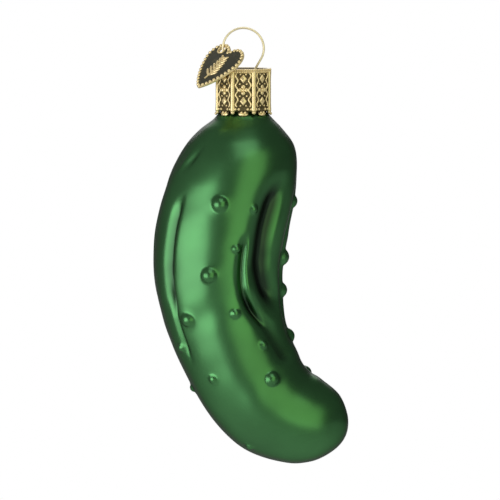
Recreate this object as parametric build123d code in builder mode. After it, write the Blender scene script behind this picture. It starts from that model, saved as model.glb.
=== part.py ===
from build123d import *
import math
import os

# Pickle ornament: a blown glass pickle, hung by a crown cap, a wire loop and a heart tag.
# Millimetres. The origin is the inside top of the wire loop, where a hook bears.
# +Z is up, +X is to the viewer's right and the viewer stands on the -Y side.

# Wire loop
wire_diameter = 0.5
loop_inside_radius = 4.35
shank_lean = 30.0  # degrees that each shank leans inwards below the loop
hole_spacing = 4.8  # between the two holes in the cap
hole_clearance = 0.35
leg_bend_radius = 1.2
leg_clearance = 0.1  # between a sprung leg and the inside of the neck
leg_reach = 4.0  # how far the legs go on below the neck

# Glass neck and shell
neck_diameter = 10.4
neck_wall = 0.8
shell_wall = 0.8
shoulder_gap = 0.3  # from the tips of the cap's tabs down to the shoulder

# Cap
panel_count = 8
neck_clearance = 0.1
cap_wall = 0.6
cap_height = 9.5
cap_plate = 0.6
rim_rise = 0.3  # the rim stands this far above the plate
rim_height = 0.95
rim_overhang = 0.25
pillar_diameter = 0.9
tab_width = 2.3
tab_length = 0.9
relief_height = 0.28
wave_spacing = 2.9
wave_pitch = 2.0
wave_height = 0.24
wave_width = 0.34
lozenge_width = 1.5
lozenge_height = 1.9
petal_radius = 0.42
motif_step = 2.5
bead_diameter = 0.66

# Heart tag
tag_thickness = 0.6
lobe_radius = 3.5
lobe_spacing = 6.0
lobe_end = 20.0  # degrees below level where each lobe runs into the side
tip_drop = 8.9
tag_bead_diameter = 0.84
tag_bead_inset = 0.28  # bead centres from the heart's edge
tag_bead_sink = 0.1  # bead centres below the heart's face
tag_bead_pitch = 1.04
tag_hole_radius = 0.95
tag_boss_rise = 0.1
tag_hole_across = 3.2  # hole from the heart's middle line, in the left lobe
tag_hole_rise = 2.0  # hole above the lobes' centres
tag_place = 184.5  # degrees round the loop, anticlockwise from +X
tag_azimuth = 220.0  # the way that the face looks, seen from above
tag_turn = -13.5  # the heart's own turn in its plane
tag_clearance = 0.45  # from the tag's back to the cap's rim

# Pickle, rib by rib from the shoulder to the tip:
# sideways shift, drop below the shoulder, radius and lean in degrees
ribs = [
    (0.0, 0.0, 5.0, 0),
    (0.0, 0.9, 6.7, 0),
    (-0.4, 2.9, 9.2, 0),
    (-0.6, 6.3, 12.0, 1),
    (-1.4, 10.3, 13.5, 2),
    (-2.7, 16.1, 14.5, 6),
    (-4.8, 25.8, 15.0, 3),
    (-5.6, 34.8, 14.7, -7),
    (-4.4, 44.4, 13.6, -9),
    (-1.4, 53.7, 12.7, -14),
    (3.4, 62.0, 12.0, -39),
    (7.8, 66.5, 11.4, -51),
    (13.8, 68.9, 10.2, -67),
    (18.3, 70.3, 8.3, -68),
    (21.9, 71.4, 4.4, -69),
    (23.2, 71.9, 0.0, -69),
]
rib_step = 3.3
rib_points = 120

# Creases pressed into the skin: three places (travel, angle), depth and width.
# Travel runs down the pickle from the shoulder. The angle is 0 at the front, + to the right.
creases = [
    ((19, -44), (35, -47), (52, -50), 0.8, 0.9),
    ((5, -43), (9, -48), (14, -55), 0.45, 0.8),
    ((28, 20), (43, 22), (64, 52), 0.65, 0.9),
    ((13, 39), (29, 34.5), (48, 56), 1.0, 1.3),
    ((10, 88), (30, 78), (56, 84), 0.7, 1.5),
    ((16, 128), (36, 136), (60, 126), 0.9, 1.4),
    ((8, 176), (32, 170), (66, 182), 0.8, 1.3),
    ((18, -134), (38, -128), (58, -138), 0.9, 1.4),
    ((12, -92), (30, -86), (46, -92), 0.7, 1.2),
]

# Warts by radius: travel and angle of each
wart_sink = 0.4  # share of its radius that a wart's centre lies under the skin
large_wart = 1.9
plain_wart = 1.7
small_wart = 1.05
warts = {
    large_wart: [(19.5, -7), (35.2, -8), (33.8, 88), (14, 150), (26, -110), (29.5, 158), (61, 160)],
    plain_wart: [
        (44.5, -36), (63.2, 23), (18, 86), (41.8, 92), (53, 93), (40, -152), (47.5, 146),
        (53.5, -111), (70, 112), (69, -140),
    ],
    small_wart: [
        (29.5, 15), (44.5, 12), (20, 24), (53, 32), (57.5, -34), (50.5, -59), (58.2, -86),
        (70.5, -60),
    ],
}

# Sizes that follow
wire_radius = wire_diameter / 2
loop_radius = loop_inside_radius + wire_radius
loop_z = -loop_inside_radius
lean = math.radians(shank_lean)
hole_x = hole_spacing / 2
shank_x = loop_radius * math.cos(lean)
shank_z = loop_z - loop_radius * math.sin(lean)
hole_z = shank_z - (shank_x - hole_x) / math.tan(lean)

neck_radius = neck_diameter / 2
neck_bore = neck_radius - neck_wall
cap_bore = neck_radius + neck_clearance
panel_apothem = cap_bore + cap_wall
panel_corner = panel_apothem / math.cos(math.pi / panel_count)
pillar_radius = pillar_diameter / 2
pillar_ring = panel_corner - pillar_radius / 2
cap_reach = pillar_ring + pillar_radius
plate_top = hole_z + cap_plate / 2
plate_under = plate_top - cap_plate
rim_top = plate_top + rim_rise
cap_foot = rim_top - cap_height
tab_foot = cap_foot - tab_length
shoulder_z = tab_foot - shoulder_gap
neck_foot = shoulder_z - 2 * shell_wall


# Hanger: one wire, bent into a loop with two legs that spring apart inside the neck
leg_target_x = neck_bore - wire_radius - leg_clearance
bend_x = hole_x + leg_bend_radius * math.cos(lean)
bend_z = hole_z - leg_bend_radius * math.sin(lean)
bend_far = math.hypot(bend_x - leg_target_x, bend_z - neck_foot)
leg_aim = math.atan2(bend_x - leg_target_x, bend_z - neck_foot)
leg_splay = math.asin(leg_bend_radius / bend_far) - leg_aim
leg_start_x = bend_x - leg_bend_radius * math.cos(leg_splay)
leg_start_z = bend_z - leg_bend_radius * math.sin(leg_splay)
leg_end_x = leg_target_x + leg_reach * math.tan(leg_splay)
leg_end_z = neck_foot - leg_reach
bend_mid = (leg_splay - lean) / 2
bend_mid_x = bend_x - leg_bend_radius * math.cos(bend_mid)
bend_mid_z = bend_z - leg_bend_radius * math.sin(bend_mid)

with BuildPart() as hanger_wire:
    with BuildLine(Plane.XZ) as wire_path:
        Line((-leg_end_x, leg_end_z), (-leg_start_x, leg_start_z))
        ThreePointArc((-leg_start_x, leg_start_z), (-bend_mid_x, bend_mid_z), (-hole_x, hole_z))
        Line((-hole_x, hole_z), (-shank_x, shank_z))
        ThreePointArc((-shank_x, shank_z), (0, loop_z + loop_radius), (shank_x, shank_z))
        Line((shank_x, shank_z), (hole_x, hole_z))
        ThreePointArc((hole_x, hole_z), (bend_mid_x, bend_mid_z), (leg_start_x, leg_start_z))
        Line((leg_start_x, leg_start_z), (leg_end_x, leg_end_z))
    with BuildSketch(Plane(origin=wire_path.line @ 0, z_dir=wire_path.line % 0)):
        Circle(wire_radius)
    sweep(path=wire_path.line)
hanger_wire.part.label = "hanger_wire"


# Cap: a crown of flat panels between pillars, with a tab under each panel
panels = []
for panel in range(panel_count):
    turn = 2 * math.pi * panel / panel_count - math.pi / 2
    out = Vector(math.cos(turn), math.sin(turn), 0)
    panels.append(
        Plane(
            origin=out * panel_apothem + Vector(0, 0, cap_foot),
            x_dir=(-math.sin(turn), math.cos(turn), 0),
            z_dir=out,
        )
    )
relief_foot = bead_diameter * 1.6
relief_top = cap_height - rim_height
relief_middle = (relief_foot + relief_top) / 2
wave_turns = max(2, 2 * round((relief_top - relief_foot) / wave_pitch))
wave_step = (relief_top - relief_foot) / wave_turns
bead_spots = []
for side in (-1, 1):
    bead_spots.append((side * 0.62 * wave_spacing, bead_diameter * 0.75, 0))
    bead_spots.append((side * (0.62 * wave_spacing - 1.2 * bead_diameter), bead_diameter * 0.75, 0))
    bead_spots.append((side * bead_diameter * 0.6, -tab_length * 0.2, 0))

with BuildPart() as cap:
    with BuildSketch(Plane.XY.offset(cap_foot)):
        RegularPolygon(panel_apothem, panel_count, major_radius=False, rotation=180 / panel_count)
    extrude(amount=cap_height)
    with BuildSketch(Plane.XY.offset(rim_top - rim_height)):
        rim_apothem = panel_apothem + rim_overhang
        RegularPolygon(rim_apothem, panel_count, major_radius=False, rotation=180 / panel_count)
    extrude(amount=rim_height)
    with BuildSketch(Plane.XY.offset(cap_foot)):
        with PolarLocations(pillar_ring, panel_count, start_angle=180 / panel_count):
            Circle(pillar_radius)
    extrude(amount=cap_height - rim_height / 2)
    with BuildSketch(*panels):
        RectangleRounded(tab_width, 2 * tab_length, min(tab_width, 2 * tab_length) * 0.4)
    extrude(amount=-cap_wall)
    with BuildSketch(*panels):
        for side in (-1, 1):
            with BuildLine() as wave:
                for step in range(wave_turns):
                    low = (side * wave_spacing / 2, relief_foot + step * wave_step)
                    high = (side * wave_spacing / 2, relief_foot + (step + 1) * wave_step)
                    SagittaArc(low, high, wave_height * (1 if step % 2 else -1))
            trace(wave.line, wave_width)
        for rise in (-motif_step, motif_step):
            with Locations((0, relief_middle + rise)):
                with BuildLine():
                    Polyline(
                        (-lozenge_width / 2, 0),
                        (0, -lozenge_height / 2),
                        (lozenge_width / 2, 0),
                        (0, lozenge_height / 2),
                        close=True,
                    )
                make_face()
        with Locations((0, relief_middle)):
            Circle(petal_radius * 0.8)
            with PolarLocations(petal_radius * 1.55, 4):
                Circle(petal_radius)
    extrude(amount=relief_height)
    with Locations(*[plane.from_local_coords(spot) for plane in panels for spot in bead_spots]):
        Sphere(bead_diameter / 2)
    with BuildSketch(Plane.XY.offset(tab_foot - tab_length)):
        Circle(cap_bore)
    extrude(amount=plate_under - tab_foot + tab_length, mode=Mode.SUBTRACT)
    with BuildSketch(Plane.XY.offset(plate_top)):
        Circle(cap_bore)
    extrude(amount=rim_rise, mode=Mode.SUBTRACT)
    with Locations((-hole_x, 0, plate_top), (hole_x, 0, plate_top)):
        Hole(wire_radius + hole_clearance, depth=cap_plate)
cap.part.label = "cap"


# Glass body: rib sections, each with its creases, joined into one skin
travel = [0.0]
for first, second in zip(ribs, ribs[1:]):
    travel.append(travel[-1] + math.hypot(second[0] - first[0], second[1] - first[1]))


def rib_value(index, column):
    value = ribs[index][column]
    return value * value if column == 2 else value


def rib_slope(index, column):
    before = max(index - 1, 0)
    after = min(index + 1, len(ribs) - 1)
    return (rib_value(after, column) - rib_value(before, column)) / (travel[after] - travel[before])


def rib_at(place):
    index = 0
    while index < len(ribs) - 2 and travel[index + 1] <= place:
        index += 1
    gap = travel[index + 1] - travel[index]
    q = (place - travel[index]) / gap
    found = []
    for column in range(4):
        value = (2 * q**3 - 3 * q**2 + 1) * rib_value(index, column)
        value += (3 * q**2 - 2 * q**3) * rib_value(index + 1, column)
        value += (q**3 - 2 * q**2 + q) * gap * rib_slope(index, column)
        value += (q**3 - q**2) * gap * rib_slope(index + 1, column)
        found.append(value)
    return found[0], shoulder_z - found[1], math.sqrt(max(found[2], 0)), math.radians(found[3])


def crease_angle(places, place):
    total = 0
    for own, (place_own, angle) in enumerate(places):
        share = 1
        for other, (place_other, _) in enumerate(places):
            if other != own:
                share *= (place - place_other) / (place_own - place_other)
        total += angle * share
    return total


def crease_depth(place, angle, radius):
    depth = 0
    for *places, deep, width in creases:
        along = (place - places[0][0]) / (places[-1][0] - places[0][0])
        fade = max(0, min(1, along / 0.22, (1 - along) / 0.22))
        aside = (angle - crease_angle(places, place) + 180) % 360 - 180
        across = math.radians(aside) * radius / width
        depth += deep * fade**2 * (3 - 2 * fade) * math.exp(-(across**2))
    return depth


def skin_point(place, angle, sink):
    x, z, radius, tilt = rib_at(place)
    reach = radius - crease_depth(place, angle, radius) - sink
    side = reach * math.sin(math.radians(angle))
    return Vector(
        x + side * math.cos(tilt),
        -reach * math.cos(math.radians(angle)),
        z - side * math.sin(tilt),
    )


def rib_section(place, inset):
    x, z, radius, tilt = rib_at(place)
    outline = []
    for index in range(rib_points):
        angle = 360 * index / rib_points
        reach = (radius - crease_depth(place, angle, radius)) * (1 - inset / max(radius, 2 * inset))
        turn = math.radians(angle)
        outline.append((reach * math.cos(turn), reach * math.sin(turn)))
    knots = [index / rib_points for index in range(rib_points + 1)]
    rib_up = (math.sin(tilt), 0, math.cos(tilt))
    with BuildSketch(Plane((x, 0, z), x_dir=(0, -1, 0), z_dir=rib_up)) as rib:
        with BuildLine():
            add(Edge.make_spline(outline, periodic=True, parameters=knots))
        make_face()
    return rib.sketch


def rib_places(start, stop):
    places = []
    for first, second in zip(travel, travel[1:-1]):
        count = max(1, round((second - first) / rib_step))
        places += [first + (second - first) * step / count for step in range(count)]
    places = [place for place in places if start < place < stop - 2.5]
    left = stop - places[-1]
    return [start] + places + [stop - left * rest**2 for rest in (0.75, 0.5, 0.27)]


pickle_end = travel[-1]
tip_x, tip_z, tip_radius, tip_tilt = rib_at(pickle_end)
tip_way = Vector(math.sin(-tip_tilt), 0, -math.cos(tip_tilt))
outer_places = rib_places(0, pickle_end)
inner_places = rib_places(shell_wall, pickle_end - shell_wall)
outer_skin = [rib_section(place, 0) for place in outer_places]
inner_skin = [rib_section(place, shell_wall) for place in inner_places]
outer_tip = Vector(tip_x, 0, tip_z)
inner_tip = outer_tip - tip_way * shell_wall

with BuildPart() as glass_body:
    loft(sections=outer_skin + [Vertex(*outer_tip)])
    with BuildSketch(Plane.XY.offset(plate_under)):
        Circle(neck_radius)
    extrude(amount=neck_foot - plate_under)
    for radius, spots in warts.items():
        with Locations(*[skin_point(place, angle, wart_sink * radius) for place, angle in spots]):
            Sphere(radius)
    loft(sections=inner_skin + [Vertex(*inner_tip)], mode=Mode.SUBTRACT)
    with BuildSketch(Plane.XY.offset(plate_under)):
        Circle(neck_bore)
    extrude(amount=neck_foot - shell_wall - plate_under, mode=Mode.SUBTRACT)
glass_body.part.label = "glass_body"


# Heart tag: a beaded plate that hangs on the loop and leans over the cap's rim
place = math.radians(tag_place)
tag_hang = Vector(loop_radius * math.cos(place), 0, loop_z + loop_radius * math.sin(place))
look = math.radians(tag_azimuth)
corners = [2 * math.pi * (panel + 0.5) / panel_count for panel in range(panel_count)]
rim_reach = max(cap_reach * math.cos(look - corner) for corner in corners)
rim_ahead = rim_reach - tag_hang.X * math.cos(look)
rim_below = tag_hang.Z - rim_top
tag_stand = tag_thickness / 2 + tag_clearance
tag_lean = math.acos(tag_stand / math.hypot(rim_ahead, rim_below)) - math.atan2(rim_ahead, rim_below)
tag_ahead = math.sin(tag_lean)
tag_face = Vector(math.cos(look) * tag_ahead, math.sin(look) * tag_ahead, math.cos(tag_lean))
tag_level = Vector(-math.sin(look), math.cos(look), 0)
tag_side = tag_level.rotate(Axis((0, 0, 0), tag_face), tag_turn)
tag_plane = Plane(origin=tag_hang, x_dir=tag_side, z_dir=tag_face)

lobe_x = lobe_spacing / 2
notch_y = math.sqrt(max(lobe_radius**2 - lobe_x**2, 0))
notch_turn = math.degrees(math.atan2(notch_y, -lobe_x))
lobe_angle = math.radians(-lobe_end)
lobe_foot = (lobe_x + lobe_radius * math.cos(lobe_angle), lobe_radius * math.sin(lobe_angle))
side_way = (math.sin(lobe_angle), -math.cos(lobe_angle))
heart_shift = Location((tag_hole_across, -tag_hole_rise))

with BuildSketch() as heart_outline:
    with BuildLine():
        CenterArc((lobe_x, 0), lobe_radius, notch_turn, -notch_turn - lobe_end)
        TangentArc(lobe_foot, (0, -tip_drop), tangent=side_way)
        mirror(about=Plane.YZ)
    make_face()
bead_line = offset(heart_outline.sketch, amount=-tag_bead_inset, kind=Kind.ARC).face().outer_wire()
tag_beads = round(bead_line.length / tag_bead_pitch)
bead_shift = Vector(tag_hole_across, -tag_hole_rise, tag_thickness / 2 - tag_bead_sink)
tag_bead_spots = []
for bead in range(tag_beads):
    tag_bead_spots.append(tag_plane.from_local_coords(bead_line @ (bead / tag_beads) + bead_shift))

with BuildPart() as heart_tag:
    with BuildSketch(tag_plane.offset(-tag_thickness / 2)):
        with Locations(heart_shift):
            add(heart_outline.sketch)
    extrude(amount=tag_thickness)
    with BuildSketch(tag_plane):
        Circle(tag_hole_radius + tag_bead_diameter / 2)
    extrude(amount=tag_thickness / 2 + tag_boss_rise)
    with Locations(*tag_bead_spots):
        Sphere(tag_bead_diameter / 2)
    with BuildSketch(tag_plane.offset(-tag_thickness)):
        Circle(tag_hole_radius)
    extrude(amount=3 * tag_thickness, mode=Mode.SUBTRACT)
heart_tag.part.label = "heart_tag"

os.makedirs("parts", exist_ok=True)
export_step(hanger_wire.part, "parts/hanger_wire.step")
export_step(cap.part, "parts/cap.step")
export_step(glass_body.part, "parts/glass_body.step")
export_step(heart_tag.part, "parts/heart_tag.step")

print("cap plate top", round(plate_top, 3), "holes at", round(hole_z, 3), "shoulder", round(shoulder_z, 3))
print("tag hangs at", tag_hang, "lean", round(math.degrees(tag_lean), 2))
print("leg splay", round(math.degrees(leg_splay), 2), "tag beads", tag_beads)
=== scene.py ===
import bpy
import bmesh
import math
import numpy as np
from mathutils import Matrix, Vector


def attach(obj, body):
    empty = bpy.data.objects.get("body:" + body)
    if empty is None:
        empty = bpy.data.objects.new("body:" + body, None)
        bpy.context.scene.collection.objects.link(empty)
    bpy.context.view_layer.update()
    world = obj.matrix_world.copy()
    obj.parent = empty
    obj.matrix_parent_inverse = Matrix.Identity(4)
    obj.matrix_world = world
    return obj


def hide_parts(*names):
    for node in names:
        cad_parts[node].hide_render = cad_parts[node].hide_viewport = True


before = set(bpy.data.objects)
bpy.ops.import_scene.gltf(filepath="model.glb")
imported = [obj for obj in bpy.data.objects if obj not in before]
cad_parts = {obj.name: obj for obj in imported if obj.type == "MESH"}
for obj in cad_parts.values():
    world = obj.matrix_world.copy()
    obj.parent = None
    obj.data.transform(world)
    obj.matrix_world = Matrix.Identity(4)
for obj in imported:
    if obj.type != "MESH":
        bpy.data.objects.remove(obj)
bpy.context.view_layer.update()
scene = bpy.context.scene
scene.view_settings.view_transform = "Standard"
mm = 0.001
fullTurn = 2 * math.pi


# nodes: settings and constants of one node, sockets of a group, links by name
nodeGrid = {"left": -1400, "rows": 4, "wide": 220, "tall": 320}


def addNode(tree, kind, inputs=None, **settings):
    node = tree.nodes.new(kind)
    column, row = divmod(len(tree.nodes), nodeGrid["rows"])
    node.location = (nodeGrid["left"] + column * nodeGrid["wide"], -row * nodeGrid["tall"])
    for key, value in settings.items():
        setattr(node, key, value)
    for key, value in (inputs or {}).items():
        node.inputs[key].default_value = value
    return node


def addRange(tree, source=(0, 1), target=(0, 1), kind="SMOOTHSTEP"):
    limits = {"From Min": source[0], "From Max": source[1], "To Min": target[0], "To Max": target[1]}
    return addNode(tree, "ShaderNodeMapRange", limits, interpolation_type=kind)


def addMath(tree, operation, inputs=None):
    return addNode(tree, "ShaderNodeMath", inputs, operation=operation)


def addSockets(tree, inputs, outputs):
    for way, sockets in (("INPUT", inputs), ("OUTPUT", outputs)):
        for label, kind in sockets.items():
            tree.interface.new_socket(label, in_out=way, socket_type="NodeSocket" + kind)


def linkAll(tree, links):
    for source, given, target, taken in links:
        tree.links.new(source.outputs[given], target.inputs[taken])


def newMaterial(name):
    material = bpy.data.materials.new(name)
    material.use_nodes = True
    return material, material.node_tree


# meshes and objects
def placed(name, data):
    piece = bpy.data.objects.new(name, data)
    scene.collection.objects.link(piece)
    return piece


def meshObject(name, points, faces, edges=()):
    mesh = bpy.data.meshes.new(name)
    mesh.from_pydata([tuple(p) for p in points], list(edges), [tuple(f) for f in faces])
    mesh.update()
    for face in mesh.polygons:
        face.use_smooth = True
    return placed(name, mesh)


def shapeObject(name, shape):
    mesh = bpy.data.meshes.new(name)
    shape.to_mesh(mesh)
    shape.free()
    return placed(name, mesh)


def smoothUnder(mesh, degrees):
    mesh.polygons.foreach_set("use_smooth", [True] * len(mesh.polygons))
    mesh.set_sharp_from_angle(angle=math.radians(degrees))


def turnOutward(mesh, merge=None):
    shape = bmesh.new()
    shape.from_mesh(mesh)
    if merge:
        bmesh.ops.remove_doubles(shape, verts=shape.verts, dist=merge)
    bmesh.ops.recalc_face_normals(shape, faces=shape.faces)
    shape.to_mesh(mesh)
    shape.free()


def dropObject(piece):
    mesh = piece.data
    bpy.data.objects.remove(piece)
    if mesh.users == 0:
        bpy.data.meshes.remove(mesh)


def evaluatedMesh(piece):
    graph = bpy.context.evaluated_depsgraph_get()
    graph.update()
    return bpy.data.meshes.new_from_object(piece.evaluated_get(graph))


def joinPieces(name, pieces, material):
    whole = bmesh.new()
    for piece in pieces:
        whole.from_mesh(piece.data)
    made = shapeObject(name, whole)
    for piece in pieces:
        dropObject(piece)
    made.data.materials.append(material)
    made.data.polygons.foreach_set("material_index", [0] * len(made.data.polygons))
    return made


def setFloat(piece, label, values):
    layer = piece.data.attributes.new(label, "FLOAT", "POINT")
    layer.data.foreach_set("value", np.asarray(values, dtype=np.float32))


def meshPoints(piece):
    flat = np.zeros(len(piece.data.vertices) * 3, dtype=np.float32)
    piece.data.vertices.foreach_get("co", flat)
    return flat.reshape(-1, 3).astype(float)


# spots on an arc, round a circle, and along a line after its start
def arcSpots(middle, radius, first, last, steps):
    angles = [first + (last - first) * k / steps for k in range(steps + 1)]
    return [(middle[0] + radius * math.cos(a), middle[1] + radius * math.sin(a)) for a in angles]


def circleSpots(radius, count, middle=(0, 0)):
    return arcSpots(middle, radius, 0, fullTurn, count)[:-1]


def lineSpots(start, end, steps):
    shares = [k / steps for k in range(1, steps + 1)]
    return [(start[0] + (end[0] - start[0]) * q, start[1] + (end[1] - start[1]) * q) for q in shares]


# quads between stacked rings of points, wound outward for rings that go down or up
def ringFaces(rings, sides, first=0, upward=False):
    faces = []
    for ring in range(rings - 1):
        for side in range(sides):
            a = first + ring * sides + side
            b = first + ring * sides + (side + 1) % sides
            faces.append((a, b, b + sides, a + sides) if upward else (a, a + sides, b + sides, b))
    return faces


# the end of both Geometry Nodes trees: made real, smooth and coated
def endTree(tree, start, source, given):
    real = addNode(tree, "GeometryNodeRealizeInstances")
    smooth = addNode(tree, "GeometryNodeSetShadeSmooth")
    coat = addNode(tree, "GeometryNodeSetMaterial")
    end = addNode(tree, "NodeGroupOutput")
    linkAll(tree, [
        (source, given, real, "Geometry"),
        (real, "Geometry", smooth, "Geometry"),
        (smooth, "Geometry", coat, "Geometry"),
        (start, "Material", coat, "Material"),
        (coat, "Geometry", end, "Geometry"),
    ])


# one shape set on many points, each with its own turn and size
def makePlaceTree():
    tree = bpy.data.node_groups.new("setOnPoints", "GeometryNodeTree")
    addSockets(tree, {"Points": "Geometry", "Shape": "Object", "Size": "Float", "Material": "Material"},
               {"Geometry": "Geometry"})
    start = addNode(tree, "NodeGroupInput")
    points = addNode(tree, "GeometryNodeMeshToPoints")
    shape = addNode(tree, "GeometryNodeObjectInfo")
    turn = addNode(tree, "GeometryNodeInputNamedAttribute", {"Name": "turn"}, data_type="FLOAT_VECTOR")
    turned = addNode(tree, "FunctionNodeEulerToRotation")
    own = addNode(tree, "GeometryNodeInputNamedAttribute", {"Name": "size"}, data_type="FLOAT_VECTOR")
    grow = addNode(tree, "ShaderNodeVectorMath", operation="SCALE")
    place = addNode(tree, "GeometryNodeInstanceOnPoints")
    linkAll(tree, [
        (start, "Points", points, "Mesh"),
        (start, "Shape", shape, "Object"),
        (points, "Points", place, "Points"),
        (shape, "Geometry", place, "Instance"),
        (turn, "Attribute", turned, "Euler"),
        (turned, "Rotation", place, "Rotation"),
        (own, "Attribute", grow, 0),
        (start, "Size", grow, "Scale"),
        (grow, "Vector", place, "Scale"),
    ])
    endTree(tree, start, place, "Instances")
    return tree


# a round bar swept along a drawn line
def makeSweepTree():
    tree = bpy.data.node_groups.new("sweepOnLine", "GeometryNodeTree")
    addSockets(tree, {"Line": "Geometry", "Radius": "Float", "Sides": "Int", "Material": "Material"},
               {"Geometry": "Geometry"})
    start = addNode(tree, "NodeGroupInput")
    line = addNode(tree, "GeometryNodeMeshToCurve")
    ring = addNode(tree, "GeometryNodeCurvePrimitiveCircle")
    bar = addNode(tree, "GeometryNodeCurveToMesh", {"Fill Caps": True})
    linkAll(tree, [
        (start, "Line", line, "Mesh"),
        (start, "Radius", ring, "Radius"),
        (start, "Sides", ring, "Resolution"),
        (line, "Curve", bar, "Curve"),
        (ring, "Curve", bar, "Profile Curve"),
    ])
    endTree(tree, start, bar, "Mesh")
    return tree


placeTree = makePlaceTree()
sweepTree = makeSweepTree()


# runs a tree on a drawn piece and keeps only the mesh that comes out
def runTree(piece, tree, name, inputs):
    modifier = piece.modifiers.new(tree.name, "NODES")
    modifier.node_group = tree
    for item in tree.interface.items_tree:
        if item.in_out == "INPUT" and item.name in inputs:
            modifier[item.identifier] = inputs[item.name]
    made = placed(name, evaluatedMesh(piece))
    piece.modifiers.clear()
    dropObject(piece)
    return made


def spotAt(place, turn=(0, 0, 0), size=(1, 1, 1)):
    return tuple(place), tuple(turn), size


def setOnPoints(name, shape, spots, size, material):
    places, turns, sizes = zip(*spots)
    cloud = meshObject(name + "Points", places, [])
    for label, values in (("turn", turns), ("size", sizes)):
        layer = cloud.data.attributes.new(label, "FLOAT_VECTOR", "POINT")
        layer.data.foreach_set("vector", np.array(values, dtype=np.float32).ravel())
    made = runTree(cloud, placeTree, name, {"Shape": shape, "Size": size, "Material": material})
    dropObject(shape)
    return made


def sweepOnLine(name, lines, radius, sides, material, closed=False):
    points = []
    edges = []
    for line in lines:
        first = len(points)
        points += line
        edges += [(first + k, first + k + 1) for k in range(len(line) - 1)]
        if closed:
            edges.append((first + len(line) - 1, first))
    path = meshObject(name + "Line", points, [], edges)
    return runTree(path, sweepTree, name, {"Radius": radius, "Sides": sides, "Material": material})


def beadShape(name, detail=2):
    ball = bmesh.new()
    bmesh.ops.create_icosphere(ball, subdivisions=detail, radius=1.0)
    return shapeObject(name, ball)


# a raised dome whose outline is reach(angle), flat underneath
def domeShape(name, reach, height, sides=24, rings=6, fullness=2.4):
    points = [(0, 0, height)]
    for ring in range(1, rings + 1):
        q = ring / rings
        level = height * math.sqrt(1 - q**fullness)
        for side in range(sides):
            angle = fullTurn * side / sides
            far = reach(angle) * q
            points.append((far * math.cos(angle), far * math.sin(angle), level))
    low = len(points)
    points += [(x, y, -height) for x, y, _ in points[-sides:]]
    faces = [(0, 1 + side, 1 + (side + 1) % sides) for side in range(sides)]
    faces += ringFaces(rings + 1, sides, first=1)
    faces.append(tuple(low + side for side in reversed(range(sides))))
    return meshObject(name, points, faces)


# antique gold, shared by cap, tag and wire: bright where raised or rubbed, dark where sunk
gold = {
    "noiseDetail": 5,
    "wear": (0.7, -0.35),
    "shows": (0.05, 0.75),
    "roughness": (0.38, 0.1),
    "bumpDeep": 0.00008,
}


def makeGoldGroup():
    tree = bpy.data.node_groups.new("agedGold", "ShaderNodeTree")
    addSockets(tree, {"Relief": "Float", "Bright": "Color", "Dark": "Color", "Grain": "Float"},
               {"Color": "Color", "Roughness": "Float", "Height": "Float"})
    gain, offset = gold["wear"]
    start = addNode(tree, "NodeGroupInput")
    place = addNode(tree, "ShaderNodeTexCoord")
    noise = addNode(tree, "ShaderNodeTexNoise", {"Detail": gold["noiseDetail"]})
    wear = addMath(tree, "MULTIPLY_ADD", {1: gain, 2: offset})
    worn = addMath(tree, "ADD")
    ramp = addRange(tree, gold["shows"])
    mix = addNode(tree, "ShaderNodeMix", data_type="RGBA")
    rough = addRange(tree, target=gold["roughness"], kind="LINEAR")
    end = addNode(tree, "NodeGroupOutput")
    linkAll(tree, [
        (place, "Object", noise, "Vector"),
        (start, "Grain", noise, "Scale"),
        (noise, "Fac", wear, 0),
        (start, "Relief", worn, 0),
        (wear, 0, worn, 1),
        (worn, 0, ramp, "Value"),
        (ramp, "Result", mix, "Factor"),
        (start, "Dark", mix, "A"),
        (start, "Bright", mix, "B"),
        (ramp, "Result", rough, "Value"),
        (mix, "Result", end, "Color"),
        (rough, "Result", end, "Roughness"),
        (noise, "Fac", end, "Height"),
    ])
    return tree


goldGroup = makeGoldGroup()


def goldMaterial(name, look):
    material, tree = newMaterial(name)
    shader = tree.nodes["Principled BSDF"]
    shader.inputs["Metallic"].default_value = look["metal"]
    relief = addNode(tree, "ShaderNodeAttribute", attribute_name="relief")
    group = addNode(tree, "ShaderNodeGroup", node_tree=goldGroup)
    group.inputs["Bright"].default_value = look["bright"]
    group.inputs["Dark"].default_value = look["dark"]
    group.inputs["Grain"].default_value = look["grain"]
    bump = addNode(tree, "ShaderNodeBump", {"Strength": look["bump"], "Distance": gold["bumpDeep"]})
    linkAll(tree, [
        (relief, "Fac", group, "Relief"),
        (group, "Color", shader, "Base Color"),
        (group, "Roughness", shader, "Roughness"),
        (group, "Height", bump, "Height"),
        (bump, "Normal", shader, "Normal"),
    ])
    return material


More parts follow.
